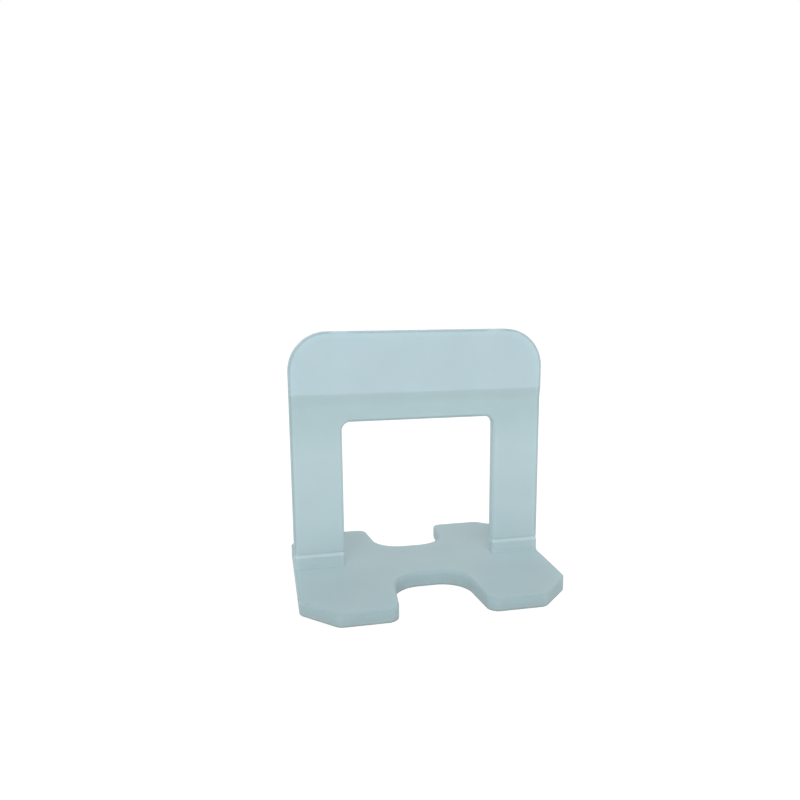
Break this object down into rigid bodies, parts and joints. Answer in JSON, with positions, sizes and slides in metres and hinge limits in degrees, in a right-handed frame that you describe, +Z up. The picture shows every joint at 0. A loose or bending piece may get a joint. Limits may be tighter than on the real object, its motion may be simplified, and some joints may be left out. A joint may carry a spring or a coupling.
{
  "type": "tile levelling clip",
  "caption": "Moulded tile levelling clip: a notched flat base that slides under tiles, break-off legs and a header over a window that takes a wedge.",
  "frame": {"origin": "on the underside of the base, under the middle of the plate", "axes": "+X along the plate, +Y from the front to the rear of the base, +Z up from the base to the header"},
  "size_m": [0.03, 0.0254, 0.0294],
  "materials": {
    "clip_plastic": "satin moulded polypropylene, pale blue and slightly translucent"
  },
  "bodies": {
    "root": {"levelling_clip": "clip_plastic"}
  },
  "joints": []
}
